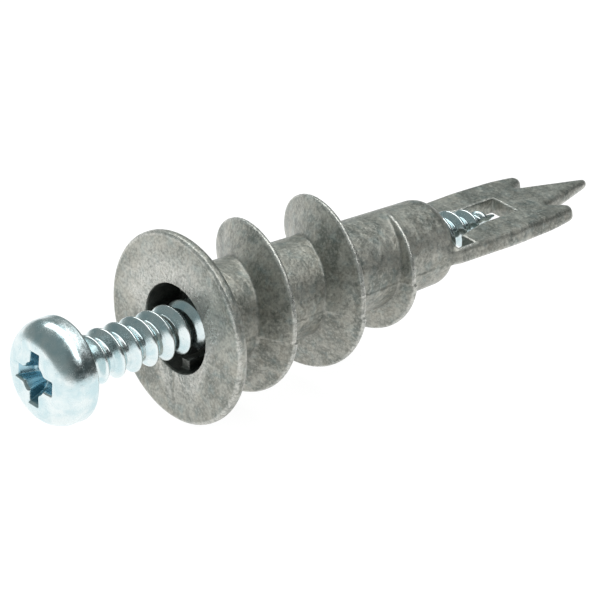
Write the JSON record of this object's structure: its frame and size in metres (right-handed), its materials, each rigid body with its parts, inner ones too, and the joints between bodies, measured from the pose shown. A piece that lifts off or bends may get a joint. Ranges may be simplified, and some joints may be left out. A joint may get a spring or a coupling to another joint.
{
  "type": "wall anchor",
  "caption": "Self-drilling plasterboard anchor: flanged cast body with a coarse fin and a fishtail drill blade, and its pan-head screw part way in.",
  "frame": {"origin": "centre of the flange's back face, which seats on the wall", "axes": "+Y along the anchor's axis, into the wall; +Z is the normal of the flat drill blade; +X across the blade"},
  "size_m": [0.0154, 0.0569, 0.0154],
  "materials": {
    "zinc_casting": "as-cast zinc alloy, dull grey",
    "zinc_plated_steel": "bright bluish zinc plating"
  },
  "bodies": {
    "anchor": {"anchor_body": "zinc_casting"},
    "screw": {"screw": "zinc_plated_steel"}
  },
  "joints": [
    {"name": "screw_travel", "type": "slide", "parent": "anchor", "child": "screw", "axis": [0, 1, 0], "range_m": [-0.036, 0.0005]}
  ]
}
